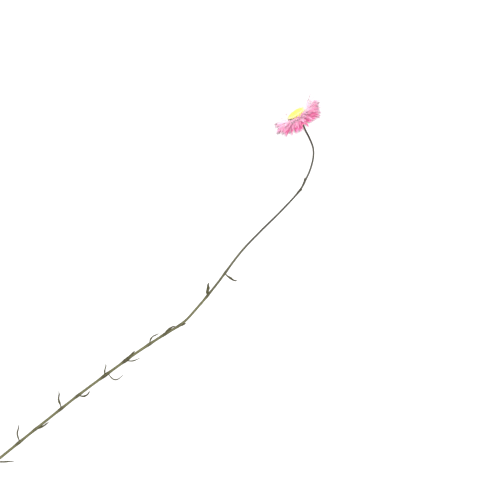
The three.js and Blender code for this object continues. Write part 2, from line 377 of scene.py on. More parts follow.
def turned(name: str, section: Sequence[Pair], sides: int, ring: bool = False) -> Workpiece:
    """A closed round shape, drawn up from a circle ring by ring.

    Args:
        name: the piece's name.
        section: the radius and height of each ring in turn.
        sides: how many points a ring has.
        ring: whether the section closes on itself round a hole, instead of being capped at both ends.

    Returns:
        The shape, about the Z axis.
    """
    radius, height = section[0]
    bpy.ops.mesh.primitive_circle_add(vertices=sides, radius=radius, location=(0, 0, 0))
    piece = Workpiece.begun(name)
    piece.lift(height)
    rings = [*section[1:], section[0]] if ring else section[1:]
    extrude = bpy.ops.mesh.extrude_edges_move if ring else bpy.ops.mesh.extrude_region_move
    with piece.editing():
        bpy.ops.mesh.select_all(action="SELECT")
        if not ring:
            bpy.ops.mesh.edge_face_add()
        bpy.ops.mesh.select_mode(type="EDGE")
        for next_radius, next_height in rings:
            extrude(TRANSFORM_OT_translate={"value": (0, 0, next_height - height)})
            share = next_radius / radius
            bpy.ops.transform.resize(value=(share, share, 1), center_override=(0, 0, next_height))
            radius, height = next_radius, next_height
    piece.face_outwards()
    return piece


# Finishes


class Desk:
    """Lays out the nodes of one material round a single Principled shader."""

    def __init__(self, name: str, **constants: Any) -> None:
        """Starts a material.

        Args:
            name: the material's name.
            constants: values of the shader's own sockets, with underscores for spaces.
        """
        self.material = bpy.data.materials.new(name)
        self.material.use_nodes = True
        self.tree = self.material.node_tree
        self.shader = next(n for n in self.tree.nodes if n.type == "BSDF_PRINCIPLED")
        for key, value in constants.items():
            self.shader.inputs[key.replace("_", " ")].default_value = value

    def node(self, kind: str, inputs: dict[Any, Any], **options: Any) -> bpy.types.Node:
        """Adds a node.

        Args:
            kind: the node's type.
            inputs: for each input, the socket that feeds it or its value.
            options: the node's own settings.

        Returns:
            The node.
        """
        made = self.tree.nodes.new(kind)
        for key, value in options.items():
            setattr(made, key, value)
        for key, value in inputs.items():
            if isinstance(value, Socket):
                self.tree.links.new(value, made.inputs[key])
            else:
                made.inputs[key].default_value = value
        return made

    def read(self, name: str) -> tuple[Socket, ...]:
        """A vector that is written on the mesh, and after it its three numbers."""
        vector = self.node("ShaderNodeAttribute", {}, attribute_name=name).outputs["Vector"]
        return (vector, *self.node("ShaderNodeSeparateXYZ", {0: vector}).outputs)

    def place(self) -> Socket:
        """The object's own coordinates, in metres."""
        return self.tree.nodes.new("ShaderNodeTexCoord").outputs["Object"]

    def stretch(self, vector: Socket, scale: Place) -> Socket:
        """A vector scaled by axis, so that a pattern on it is drawn out."""
        return self.node("ShaderNodeMapping", {"Vector": vector, "Scale": scale}).outputs[0]

    def noise(self, vector: Socket, scale: float, detail: float) -> Socket:
        """Cloudy noise, about 0 to 1."""
        inputs = {"Vector": vector, "Scale": scale, "Detail": detail}
        return self.node("ShaderNodeTexNoise", inputs).outputs[0]

    def sum(self, operation: str, first: Any, second: Any = 0.0, held: bool = False) -> Socket:
        """One step of arithmetic."""
        inputs = {0: first, 1: second}
        return self.node("ShaderNodeMath", inputs, operation=operation, use_clamp=held).outputs[0]

    def add(self, first: Any, second: Any, held: bool = False) -> Socket:
        """Two numbers added, and held between 0 and 1 if asked."""
        return self.sum("ADD", first, second, held)

    def times(self, first: Any, second: Any) -> Socket:
        """Two numbers multiplied."""
        return self.sum("MULTIPLY", first, second)

    def far(self, side: Socket) -> Socket:
        """How far from the middle of a blade, whichever the side."""
        return self.sum("ABSOLUTE", side)

    def span(self, value: Socket, low: float, high: float, first: float = 0.0, last: float = 1.0) -> Socket:
        """Runs smoothly from first to last while the value goes from low to high."""
        inputs = {"Value": value, "From Min": low, "From Max": high, "To Min": first, "To Max": last}
        return self.node("ShaderNodeMapRange", inputs, interpolation_type="SMOOTHSTEP").outputs[0]

    def ramp(self, share: Socket, *stops: tuple[float, Colour]) -> Socket:
        """Colours along a row of stops.

        Args:
            share: where on the row.
            stops: each stop's place and colour.

        Returns:
            The colour there.
        """
        made = self.node("ShaderNodeValToRGB", {0: share})
        elements = made.color_ramp.elements
        while len(elements) < len(stops):
            elements.new(1.0)
        for element, (position, shade) in zip(elements, stops):
            element.position, element.color = position, shade
        return made.outputs[0]

    def mix(self, share: Any, first: Any, second: Any) -> Socket:
        """Two colours mixed."""
        inputs = {0: share, 6: first, 7: second}
        return self.node("ShaderNodeMix", inputs, data_type="RGBA", clamp_factor=True).outputs[2]

    def coats(self, base: Any, *coats: tuple[Socket, float, float, float, float, Colour]) -> Socket:
        """Lays colours over one another, each as thickly as a pattern tells.

        Args:
            base: the colour below.
            coats: for each coat the pattern, two values of it, how thick the coat is at each, and its colour.

        Returns:
            The colour that they make together.
        """
        for pattern, low, high, first, last, shade in coats:
            base = self.mix(self.span(pattern, low, high, first, last), base, shade)
        return base

    def dress(self, base: Socket, gloss: tuple[Socket, float, float], height: Optional[Socket] = None,
              depth: float = 0.0001, strength: float = 0.5) -> bpy.types.Material:
        """Leads colour, roughness and relief to the shader.

        Args:
            base: the colour.
            gloss: the pattern that the roughness follows, and the roughness where it is low and where high.
            height: the relief, or None for a smooth surface.
            depth: how deep the relief is, in metres.
            strength: how strongly the relief shows.

        Returns:
            The finished material.
        """
        pattern, low, high = gloss
        self.tree.links.new(base, self.shader.inputs["Base Color"])
        self.tree.links.new(self.span(pattern, 0.3, 0.7, low, high), self.shader.inputs["Roughness"])
        if height is not None:
            relief = self.node("ShaderNodeBump", {"Strength": strength, "Distance": depth, "Height": height})
            self.tree.links.new(relief.outputs[0], self.shader.inputs["Normal"])
        return self.material


@dataclass(frozen=True)
class StemFinish:
    """A dry, fibrous stem: olive with pale streaks below, greyer and browner towards the bloom."""

    olive: Colour = display(99, 98, 69)
    grey_brown: Colour = display(70, 68, 62)
    neck: Colour = display(40, 35, 33)
    dark_joint: Colour = display(58, 54, 37)
    pale_streak: Colour = display(116, 115, 82)
    dark_streak: Colour = display(52, 50, 34)

    def material(self) -> bpy.types.Material:
        """The stem's skin. Its streaks run along the straightened stem, so they follow every bend.

        Returns:
            The material.
        """
        desk = Desk("dry_stem_skin", Specular_IOR_Level=0.22)
        straight = desk.read("straight")[0]
        _, share, joint, _ = desk.read("way")
        fibres = desk.noise(desk.stretch(straight, (1.0, 1.0, 0.03)), 3.2, 4.0)
        threads = desk.noise(desk.stretch(straight, (1.0, 1.0, 0.012)), 9.0, 2.0)
        patches = desk.noise(desk.stretch(straight, (0.3, 0.3, 0.06)), 1.0, 3.0)
        skin = desk.coats(
            self.olive,
            (desk.add(share, desk.times(desk.add(patches, -0.5), 0.35)), 0.5, 0.8, 0.0, 1.0, self.grey_brown),
            (share, 0.955, 0.975, 0.0, 1.0, self.neck),
            (fibres, 0.52, 0.72, 0.0, 0.6, self.pale_streak),
            (fibres, 0.28, 0.46, 0.6, 0.0, self.dark_streak),
            (threads, 0.35, 0.5, 0.35, 0.0, self.dark_streak))
        darkened = desk.times(joint, desk.span(patches, 0.3, 0.7, 0.35, 0.85))
        skin = desk.mix(darkened, skin, self.dark_joint)
        relief = desk.add(desk.times(fibres, 0.7), desk.times(threads, 0.5))
        return desk.dress(skin, (patches, 0.62, 0.82), relief, 0.00016, 0.6)


@dataclass(frozen=True)
class PithFinish:
    """The cut end: pale spongy pith inside a darker fibrous rim."""

    pith: Colour = display(206, 196, 160)
    rim: Colour = display(120, 112, 78)

    def material(self) -> bpy.types.Material:
        """The cut face.

        Returns:
            The material.
        """
        desk = Desk("cut_pith")
        straight = desk.read("straight")[0]
        across = desk.stretch(straight, (1.0, 1.0, 0.0))
        out = desk.node("ShaderNodeVectorMath", {0: across}, operation="LENGTH").outputs[1]
        pores = desk.noise(straight, 14.0, 3.0)
        base = desk.coats(
            self.pith,
            (out, 0.55, 0.85, 0.0, 1.0, self.rim),
            (pores, 0.3, 0.5, 0.5, 0.0, self.rim))
        return desk.dress(base, (pores, 0.75, 0.95), pores, 0.0001, 0.7)


@dataclass(frozen=True)
class LeafFinish:
    """A shrivelled leaf: dark olive, browner at the tip, with a pale midrib and torn pale margins."""

    olive: Colour = display(73, 72, 47)
    brown: Colour = display(60, 53, 39)
    pale: Colour = display(98, 94, 68)

    def material(self) -> bpy.types.Material:
        """Both faces of every leaf, by side, share and tone along its own blade.

        Returns:
            The material.
        """
        desk = Desk("shrivelled_leaf", Specular_IOR_Level=0.2)
        blade, side, share, tone = desk.read("blade")
        mottle = desk.noise(desk.stretch(blade, (1.2, 3.0, 9.0)), 2.2, 4.0)
        lines = desk.noise(desk.stretch(blade, (5.0, 0.7, 9.0)), 2.0, 2.0)
        far = desk.far(side)
        browning = desk.add(desk.span(share, 0.25, 1.0, 0.0, 0.75), desk.span(tone, 0.0, 1.0, -0.15, 0.3))
        browning = desk.add(browning, desk.span(mottle, 0.3, 0.7, -0.25, 0.3), held=True)
        base = desk.coats(
            desk.mix(browning, self.olive, self.brown),
            (lines, 0.5, 0.75, 0.0, 0.45, self.pale),
            (far, 0.0, 0.14, 0.4, 0.0, self.pale),
            (far, 0.82, 1.0, 0.0, 0.25, self.pale))
        relief = desk.add(lines, desk.span(far, 0.0, 0.2, 0.8, 0.0))
        return desk.dress(base, (mottle, 0.6, 0.85), relief, 0.00012, 0.7)


class BractFace(Enum):
    """The two faces of a bract: how much deeper its pink is."""

    INNER = 0.0
    OUTER = 0.32


@dataclass(frozen=True)
class BractFinish:
    """Papery pink: pale by the disc, deeper further out and further back, mauve at thin dry tips. The deeper
    pink of the outer whorls is partly their own tone and partly painted shade, the deeper pink at the roots is
    painted crease shade, and the near white on the side that turns to the surface is a painted highlight.
    """

    # near white painted as a highlight on the bracts on the side that turns to the surface
    painted_highlight: Colour = display(255, 248, 251)
    white_pink: Colour = display(254, 234, 243)
    pale: Colour = display(252, 212, 231)
    mid: Colour = display(240, 154, 194)
    # deep and rose are partly the bracts' own deeper pink and partly painted shade on the drooping outer
    # whorls and in the creases
    deep: Colour = display(202, 84, 140)
    rose: Colour = display(174, 54, 108)
    tip: Colour = display(158, 116, 132)

    def material(self, face: BractFace) -> bpy.types.Material:
        """One face of every pink bract.

        Args:
            face: the face that it covers.

        Returns:
            The material.
        """
        desk = Desk("pink_paper_" + face.name.lower(), Specular_IOR_Level=0.4, Subsurface_Weight=0.3,
                    Subsurface_Radius=(1.0, 0.4, 0.7), Subsurface_Scale=0.0005, Sheen_Weight=0.12,
                    Sheen_Roughness=0.4)
        blade, side, share, tone = desk.read("blade")
        _, whorl, upward, extra = desk.read("whorl")
        pleats = desk.noise(desk.stretch(blade, (7.0, 0.55, 31.0)), 1.7, 3.0)
        clouds = desk.noise(desk.stretch(blade, (1.0, 2.2, 17.0)), 1.3, 3.0)
        along = desk.add(share, desk.times(desk.add(clouds, -0.5), 0.4), held=True)
        # The mid pink at the root is painted crease shade for the shaded hollows by the disc.
        front = desk.ramp(along, (0.0, self.mid), (0.22, self.pale), (0.5, self.pale), (0.8, self.mid),
                          (1.0, self.pale))
        # The rose at the root is painted crease shade where the bracts overlap.
        back = desk.ramp(along, (0.0, self.rose), (0.4, self.deep), (0.75, self.deep), (1.0, self.mid))
        varied = desk.times(desk.add(tone, -0.5), 0.5)
        # Deeper further back: partly the bracts' own tone, partly painted shade on the outer whorls that
        # droop.
        depth = desk.add(desk.add(desk.times(whorl, 1.4), varied), face.value, held=True)
        # The last coat paints a near-white highlight on the bracts on the side that turns to the surface.
        base = desk.coats(
            desk.mix(depth, front, back),
            (pleats, 0.55, 0.75, 0.0, 0.3, self.rose),
            (pleats, 0.28, 0.45, 0.3, 0.0, self.white_pink),
            (desk.far(side), 0.75, 1.0, 0.0, 0.25, self.pale),
            (upward, -0.8, 0.2, 0.7, 0.0, self.painted_highlight))
        dried = desk.add(share, desk.times(extra, 0.12))
        withered = desk.times(desk.span(dried, 0.88, 1.04), desk.span(extra, 0.25, 0.55))
        withered = desk.times(withered, desk.span(upward, 0.25, 0.75, 0.95, 0.1))
        base = desk.mix(withered, base, self.tip)
        return desk.dress(base, (pleats, 0.38, 0.56), pleats, 0.00012, 0.55)


@dataclass(frozen=True)
class ScaleFinish:
    """Straw-coloured scales with a brown midvein, and glassy pale margins."""

    straw: Colour = display(202, 182, 132)
    pale: Colour = display(226, 212, 176)
    brown: Colour = display(140, 104, 66)

    def material(self) -> bpy.types.Material:
        """Both faces of the scales, and their ring.

        Returns:
            The material.
        """
        desk = Desk("straw_scale", Specular_IOR_Level=0.4)
        blade, side, share, tone = desk.read("blade")
        lines = desk.noise(desk.stretch(blade, (6.0, 0.6, 23.0)), 1.8, 3.0)
        far = desk.far(side)
        base = desk.coats(
            self.straw,
            (far, 0.45, 0.9, 0.0, 1.0, self.pale),
            (far, 0.0, 0.3, 0.75, 0.0, self.brown),
            (share, 0.7, 1.0, 0.0, 0.5, self.brown),
            (lines, 0.5, 0.75, 0.0, 0.45, self.brown),
            (tone, 0.3, 1.0, 0.0, 0.3, self.pale))
        return desk.dress(base, (lines, 0.45, 0.65), lines)


@dataclass(frozen=True)
class FloretFinish:
    """Bright yellow florets, paler at the lobes and powdery with pollen, with a painted shade of gold at their
    feet, down between the florets.
    """

    yellow: Colour = display(254, 244, 84)
    lemon: Colour = display(255, 251, 150)
    gold: Colour = display(244, 214, 60)
    cream: Colour = display(255, 252, 196)

    def material(self) -> bpy.types.Material:
        """Every floret, by height in the floret, place on the disc and tone.

        Returns:
            The material.
        """
        desk = Desk("floret_yellow_powder", Specular_IOR_Level=0.25, Subsurface_Weight=0.15,
                    Subsurface_Radius=(1.0, 0.8, 0.2), Subsurface_Scale=0.0004, Sheen_Weight=0.2)
        _, height, out, tone = desk.read("floret")
        powder = desk.noise(desk.place(), 5200.0, 3.0)
        # Gold is the base, so the foot of each floret, down between the florets, takes a painted shade of
        # gold.
        base = desk.coats(
            self.gold,
            (height, 0.35, 0.9, 0.0, 1.0, self.yellow),
            (height, 0.86, 1.0, 0.0, 0.7, self.lemon),
            (tone, 0.55, 1.0, 0.0, 0.35, self.gold),
            (out, 0.0, 0.5, 0.3, 0.0, self.gold),
            (out, 0.8, 1.0, 0.0, 0.75, self.cream),
            (powder, 0.5, 0.7, 0.0, 0.5, self.lemon))
        return desk.dress(base, (powder, 0.7, 0.95), powder, 0.00005)


@dataclass(frozen=True)
class WitheredFinish:
    """Withered florets at the rim, shrunk to dark brown."""

    brown: Colour = display(50, 36, 24)
    rust: Colour = display(104, 70, 36)

    def material(self) -> bpy.types.Material:
        """Every withered floret.

        Returns:
            The material.
        """
        desk = Desk("withered_floret", Specular_IOR_Level=0.2)
        grain = desk.noise(desk.place(), 3600.0, 3.0)
        base = desk.coats(self.brown, (grain, 0.45, 0.7, 0.0, 1.0, self.rust))
        return desk.dress(base, (grain, 0.75, 0.95), grain, 0.00006, 0.6)


@dataclass(frozen=True)
class BristleFinish:
    """Silky off-white bristles that stand round the florets."""

    silk: Colour = display(246, 240, 216)
    shade: Colour = display(222, 208, 168)

    def material(self) -> bpy.types.Material:
        """Every bristle.

        Returns:
            The material.
        """
        desk = Desk("silky_bristle", Specular_IOR_Level=0.5)
        height = desk.read("floret")[1]
        base = desk.coats(self.shade, (height, 0.0, 0.7, 0.0, 1.0, self.silk))
        return desk.dress(base, (desk.noise(desk.place(), 4200.0, 1.0), 0.35, 0.5))


@dataclass(frozen=True)
class FloorFinish:
    """Matt white paper."""

    white: Colour = display(220, 220, 220)
    shaded: Colour = display(216, 216, 216)

    def material(self) -> bpy.types.Material:
        """The floor.

        Returns:
            The material.
        """
        desk = Desk("matt_white_paper", Specular_IOR_Level=0.1)
        tooth = desk.noise(desk.place(), 900.0, 2.0)
        return desk.dress(desk.coats(self.white, (tooth, 0.3, 0.7, 0.0, 0.3, self.shaded)), (tooth, 0.9, 1.0))


# The stem and its leaves


@dataclass(frozen=True)
class Leaf:
    """One leaf: its distance from the bloom, its direction round the stem in degrees, where 0 is up and 90 is
    left when looking towards the bloom, its size, and how it leaves the stem, bends, swings and twists, in
    degrees. Without a twist of its own it twists by chance."""

    at: float
    side: float
    length: float
    width: float
    leave: float
    bend: float
    wave: float = 0.0
    twist: Optional[float] = None


def lower_leaves() -> list[Leaf]:
    """The leaves of the lower stem, which follow one another round it and grow longer towards the cut end.

    Returns:
        The leaves, from the bloom's side.
    """
    random = SolidsRandom(7)
    count, first, last, shortest, longest, width = 9, 252, 436, 9, 22, 1.6
    leaves = []
    for i in range(count):
        share = i / (count - 1)
        at = lerp(first, last, share) + about(random, 6)
        side = 70 * (-1 if i % 2 else 1) + about(random, 40)
        length = lerp(shortest, longest, share * 0.6 + 0.4 * random.random())
        wide = width * above(random, 0.8, 0.4)
        leaves.append(Leaf(at, side, length, wide, above(random, 12, 36), above(random, -80, 130),
                           above(random, 0, 40)))
    return leaves


CLEAR_LEAVES = (
    Leaf(56.5, 85, 3.8, 1.1, 26, -22),
    Leaf(66, -75, 3.6, 1.1, 26, -20),
    Leaf(159, -84, 13.4, 1.7, 112, -48, 0, 80),
    Leaf(183.5, 82, 11.4, 2.5, 42, -16, 0, 88),
    Leaf(219, -75, 6.6, 1.6, 18, -6),
    Leaf(233, 76, 11.8, 2.3, 24, -38, 0, 34),
    Leaf(272, 40, 11.0, 2.4, 24, -14, 10),
    Leaf(292, -80, 17.0, 1.2, 62, -44, 34),
)


@dataclass(frozen=True)
class StemPlace:
    """Where the stem's middle line is at some distances, with the directions round it and its radius."""

    centre: np.ndarray
    along: np.ndarray
    right: np.ndarray
    over: np.ndarray
    radius: np.ndarray


@dataclass
class StemRoute:
    """The stem's middle line from its cut end to the bloom, as x, y and how far it lifts off the surface."""

    points: tuple[Place, ...] = (
        (-226.2, 15.9, 0), (-180, 9.2, 0), (-136.5, 3.5, 1.2), (-93.6, -2.8, 2), (-61.5, -8.6, 1.6),
        (-34.8, -13.7, 0.7), (-10.1, -19.5, 0), (10.3, -24.8, 0), (28.1, -24.9, 0.3), (52.8, -23.2, 0.7),
        (88.4, -19.2, 0.4), (113.5, -19.3, 0), (137.4, -20.2, 0), (161.8, -19.4, 0.6), (170, -17, 1.2),
        (177.7, -14.5, 2.4), (188.5, -8.5, 5.6), (194, -2.8, 8.2), (197.4, 4.5, 11.8), (199.6, 11.2, 14.9),
        (202.4, 18.5, 18.3),
    )
    radius_cut: float = 1.12
    radius_neck: float = 0.72
    thins_over: float = 280.0
    joint_swelling: float = 0.24
    joint_half_length: float = 3.2
    lying: float = math.cos(math.pi / 8)
    divisions: int = 1000
    leaves: list[Leaf] = field(default_factory=lambda: [*CLEAR_LEAVES, *lower_leaves()])

    def __post_init__(self) -> None:
        """Measures the line."""
        given = np.array(self.points, float)
        self.controls = np.vstack([2 * given[0] - given[1], given, 2 * given[-1] - given[-2]])
        self.parameters = np.linspace(0.0, 1.0, self.divisions + 1)
        steps = np.linalg.norm(np.diff(self.curve(self.parameters), axis=0), axis=1)
        self.distances = np.concatenate([[0.0], np.cumsum(steps)])
        self.length = float(self.distances[-1])

    def curve(self, parameters: np.ndarray) -> np.ndarray:
        """Points of the centripetal curve through the route.

        Args:
            parameters: 0 to 1 over the whole row of points.

        Returns:
            One point for each.
        """
        spans = len(self.points) - 1
        spot = np.clip(parameters, 0.0, 1.0) * spans
        index = np.minimum(spot.astype(int), spans - 1)
        t = (spot - index)[:, None]
        p0, p1, p2, p3 = (self.controls[index + k] for k in range(4))
        chords = (p1 - p0, p2 - p1, p3 - p2)
        d0, d1, d2 = (np.sqrt(np.linalg.norm(chord, axis=1, keepdims=True)) for chord in chords)
        leave = ((p1 - p0) / d0 - (p2 - p0) / (d0 + d1) + (p2 - p1) / d1) * d1
        reach = ((p2 - p1) / d1 - (p3 - p1) / (d1 + d2) + (p3 - p2) / d2) * d1
        return (p1 + leave * t + (3 * (p2 - p1) - 2 * leave - reach) * t**2
                + (2 * (p1 - p2) + leave + reach) * t**3)

    def swellings(self, distance: np.ndarray) -> list[np.ndarray]:
        """How near each leaf's joint the stem is, 1 in its middle, at each distance from the cut end."""
        ways = [(distance - (self.length - leaf.at)) / self.joint_half_length for leaf in self.leaves]
        return [np.exp(-way * way) for way in ways]

    def radius(self, distance: np.ndarray) -> np.ndarray:
        """The stem's radius at each distance from the cut end."""
        radius = lerp(self.radius_neck, self.radius_cut, smooth((self.length - distance) / self.thins_over))
        return radius * np.prod([1 + self.joint_swelling * near for near in self.swellings(distance)], axis=0)

    def place(self, distance: np.ndarray) -> StemPlace:
        """Where the stem is.

        Args:
            distance: how far from the cut end, for each place.

        Returns:
            The middle line, the directions and the radius there.
        """
        parameters = np.interp(np.clip(distance, 0, self.length), self.distances, self.parameters)
        radius = self.radius(distance)
        centre = self.curve(parameters)
        centre[:, 2] = np.maximum(centre[:, 2], 0) + radius * self.lying
        along = unit(self.curve(parameters + 1e-4) - self.curve(parameters - 1e-4))
        right = unit(np.cross(along, UP))
        return StemPlace(centre, along, right, np.cross(right, along), radius)


@dataclass
class Stem:
    """The long thin stem, with fine ribs, swollen joints and a slanting cut."""

    route: StemRoute
    sides: int = 20
    lengths: int = 23  # cut first, because one subdivision makes a hundred cuts at most
    rows_in_length: int = 20
    ribs: int = 5
    rib_depth: float = 0.055
    rib_twist: float = 0.012  # radians for each millimetre of stem
    fibres: int = 11
    fibre_depth: float = 0.02
    fibre_twist: float = 0.03
    unevenness: float = 0.03
    uneven_by: Pair = (0.21, 0.083)  # radians for each millimetre, of two waves that beat
    cut_slant: float = 0.55
    cut_length: float = 6.0
    cut_rim: float = 0.8

    def build(self) -> Workpiece:
        """Draws a cylinder out into rows, caps it and bends it along the route.

        Returns:
            The stem.
        """
        bpy.ops.mesh.primitive_cylinder_add(vertices=self.sides, radius=1, depth=1, end_fill_type="NOTHING",
                                            location=(0, 0, 0))
        piece = Workpiece.begun("stem")
        with piece.editing():
            for rows in (self.lengths, self.rows_in_length):
                piece.select_edges(runs_upwards)
                bpy.ops.mesh.subdivide(number_cuts=rows - 1)
            for end in (-0.5, 0.5):
                piece.select_edges(partial(lies_at, height=end))
                bpy.ops.mesh.edge_face_add()
                bpy.ops.mesh.inset(thickness=1 - self.cut_rim)
                bpy.ops.mesh.poke()
        piece.face_outwards(SAME_PLACE)
        self.bend(piece)
        return piece

    def bend(self, piece: Workpiece) -> None:
        """Lays the straight stem along the route, with its ribs and joints.

        Args:
            piece: the straight stem, of unit length and radius.
        """
        straight = piece.points()
        distance = (straight[:, 2] + 0.5) * self.route.length
        place = self.route.place(distance)
        angle = np.arctan2(straight[:, 1], straight[:, 0])
        out = np.hypot(straight[:, 0], straight[:, 1])
        relief = 1 + self.rib_depth * np.cos(self.ribs * (angle + self.rib_twist * distance))
        relief += self.fibre_depth * np.cos(self.fibres * angle - self.fibre_twist * distance)
        quick, slow = self.uneven_by
        uneven = 1 + self.unevenness * np.sin(distance * quick) * np.sin(distance * slow + 1.3)
        reach = out * place.radius * relief * uneven
        x, y = reach * np.cos(angle), reach * np.sin(angle)
        slant = self.cut_slant * x * smooth(1 - distance / self.cut_length)
        piece.place(place.centre + place.right * x[:, None] + place.over * y[:, None]
                    + place.along * slant[:, None])
        piece.keep_above(0.0)
        piece.mark("straight", x, y, distance)
        joint = np.clip(sum(self.route.swellings(distance)), 0, 1)
        piece.mark("way", distance / self.route.length, joint, out)
        for face in piece.obj.data.polygons:
            if distance[face.vertices[0]] < 1 and min(out[i] for i in face.vertices) < self.cut_rim / 2:
                face.material_index = 1

    def dress(self, piece: Workpiece) -> bpy.types.Object:
        """Gives the stem its skin and the cut its pith."""
        made = piece.finish(Slot.STEM, 50, StemFinish().material(), PithFinish().material())
        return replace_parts(made, "leafy_stem")


@dataclass
class Leaves:
    """The shrivelled leaves: narrow blades that roll in at the margins and twist as they dry."""

    route: StemRoute
    columns: int = 6
    rows: int = 26
    root: float = 0.75
    widest_at: float = 0.35
    tip: float = 0.2
    end_from: float = 0.86
    end_narrowing: float = 0.85
    margin: Wave = Wave(0.12, 17)
    unrest: Wave = Wave(0.15, 9)
    kink: Wave = Wave(0.12, 13)
    roll: Pair = (0.6, 0.35)
    roll_power: float = 1.6
    loose_twist: Pair = (50.0, 60.0)
    twists_by: float = 0.4
    thickness: float = 0.24
    clearance: float = 0.14
    steps: int = 12
    seed: int = 31

    def build(self) -> Workpiece:
        """Bends one flat blade into each leaf.

        Returns:
            All the leaves as one piece.
        """
        blade = flat_sheet("leaf_blade", self.columns, self.rows)
        random = np.random.default_rng(self.seed)
        leaves = [self.leaf(blade, leaf, random) for leaf in self.route.leaves]
        blade.discard()
        piece = joined("stem_leaves", leaves)
        piece.thicken(self.thickness, use_even_offset=True)
        return piece

    def leaf(self, blade: Workpiece, leaf: Leaf, random: np.random.Generator) -> Workpiece:
        """One leaf, bent along the same spine as its solid.

        Args:
            blade: the flat blade.
            leaf: the leaf's measures.
            random: where its small irregularities come from.

        Returns:
            The leaf.
        """
        piece = blade.copy()
        flat = blade.points()
        side, share = flat[:, 0] * 2, flat[:, 1] + 0.5
        place = self.route.place(np.array([self.route.length - leaf.at]))
        centre, along, right, over = place.centre[0], place.along[0], place.right[0], place.over[0]
        out = over * math.cos(math.radians(leaf.side)) - right * math.sin(math.radians(leaf.side))
        across = unit(np.cross(out, along))
        gone = steps_to(share, self.steps)
        angle = np.radians(leaf.leave + leaf.bend * gone + leaf.wave * np.sin(FULL_TURN * gone))
        forth, off = walked(angle, leaf.length * share)
        heading = along * np.cos(angle[:, -1:]) + out * np.sin(angle[:, -1:])
        phase, twist, ripple, tone = random.random(4)
        past = (share - self.widest_at) / (1 - self.widest_at)
        width = np.where(past < 0, lerp(self.root, 1.0, share / self.widest_at), lerp(1.0, self.tip, past**2))
        width *= 1 - smooth((share - self.end_from) / (1 - self.end_from)) * self.end_narrowing
        width *= 1 + self.margin.at(share, phase) * np.abs(side)
        least, more = self.loose_twist
        final = leaf.twist or math.copysign(least + more * abs(twist - 0.5), twist - 0.5)
        turn = math.radians(final) * smooth(share / self.twists_by)
        turn += self.unrest.at(share, ripple) * share
        half = 0.5 * leaf.width * width
        reach = half * side
        fold = half * (self.roll[0] + self.roll[1] * share) * np.abs(side) ** self.roll_power
        kink = leaf.width * self.kink.at(share, phase * 5 / 6) * share
        sideways = reach * np.cos(turn) - fold * np.sin(turn)
        lift = reach * np.sin(turn) + fold * np.cos(turn) + kink
        piece.place(centre + along * forth[:, None] + out * off[:, None] + across * sideways[:, None]
                    + np.cross(heading, across) * lift[:, None])
        piece.keep_above(self.clearance)
        piece.mark("blade", side, share, tone)
        return piece

    def dress(self, piece: Workpiece) -> bpy.types.Object:
        """Gives every leaf its finish."""
        return piece.finish(Slot.STEM, 70, LeafFinish().material())


# The bloom


@dataclass
class Bloom:
    """The bloom's own frame: its axis is +Z there, and the end of the stem is at its origin."""

    route: StemRoute
    heading: float = 78.0
    rise: float = 18.0
    flank: tuple[Pair, ...] = ((0.62, -0.6), (1.3, 0.5), (3.0, 1.6), (4.8, 3.1), (5.6, 5.2))

    def __post_init__(self) -> None:
        """Turns the frame towards where the bloom looks."""
        heading = math.radians(self.heading)
        axis = unit(np.array([math.cos(heading), math.sin(heading), math.tan(math.radians(self.rise))]))
        across = unit(np.cross(UP, axis))
        self.basis = np.array([across, np.cross(axis, across), axis])
        self.origin = self.route.place(np.array([self.route.length])).centre[0]

    def seat(self, piece: Workpiece, points: np.ndarray) -> None:
        """Places a piece by points of the bloom's frame."""
        piece.place(points @ self.basis + self.origin)

    def flank_radius(self, height: float) -> float:
        """The receptacle's radius at a height."""
        radii, heights = zip(*self.flank)
        return float(np.interp(height, heights, radii))


@dataclass
class Receptacle:
    """The swollen end of the stem, which carries the bloom."""

    bloom: Bloom
    sides: int = 48
    rings: int = 12
    ribs: int = 12
    rib_depth: float = 0.03
    drawn_out: float = 6.0
    skin_share: Pair = (0.7, 0.2)
    skin_joint: Pair = (0.0, 0.2)

    def build(self) -> Workpiece:
        """Draws the ribbed cone up from the neck.

        Returns:
            The receptacle.
        """
        heights = np.linspace(self.bloom.flank[0][1], self.bloom.flank[-1][1], self.rings)
        piece = turned("receptacle", [(self.bloom.flank_radius(h), float(h)) for h in heights], self.sides)
        points = piece.points()
        angle = np.arctan2(points[:, 1], points[:, 0])
        points[:, :2] *= (1 + self.rib_depth * np.cos(self.ribs * angle))[:, None]
        height = (points[:, 2] - heights[0]) / (heights[-1] - heights[0])
        piece.mark("straight", points[:, 0], points[:, 1], points[:, 2] * self.drawn_out)
        piece.mark("way", lerp(*self.skin_share, height), lerp(*self.skin_joint, height), height)
        self.bloom.seat(piece, points)
        return piece

    def dress(self, piece: Workpiece, finish: bpy.types.Material) -> bpy.types.Object:
        """Goes on with the stem's skin over the receptacle."""
        return piece.finish(Slot.STEM, 50, finish)


@dataclass(frozen=True)
class Whorl:
    """A ring of blades: the radius and height where they start, their size, how steeply they stand at root
    and tip in degrees, the share of its spacing that the ring is turned by, and the number of a blade that
    stayed short."""

    count: int
    root: Pair
    length: float
    width: float
    slopes: Pair
    phase: float
    short: Optional[int] = None


@dataclass(frozen=True)
class Spread:
    """How far the blades of a whorl differ, in the same terms as the solids. shape holds what length, width,
    roll, cup and sway differ by, in this order."""

    turn: float = 0.36
    lean: float = 16.0
    shape: tuple[float, ...] = (0.18, 0.3, math.radians(30), 0.3, 0.12)
    least_cup: float = 0.16

    def lean_at(self, turn: float, pressed: float, random: Random) -> float:
        """How many degrees a blade leans forward: by chance, and back where it is pressed to the surface."""
        return about(random, self.lean) - pressed * max(0.0, -math.sin(turn))


@dataclass(frozen=True)
class Blade:
    """One bract or scale, as a bend of the flat blade in the bloom's frame. depth is how far back it sits,
    from 0 in the front whorl to 1 in the last, and dryness how much its tip may wither."""

    turn: float
    root: Pair
    length: float
    width: float
    slopes: Pair
    roll: float
    cup: float
    sway: float
    depth: float
    dryness: float = 1.0


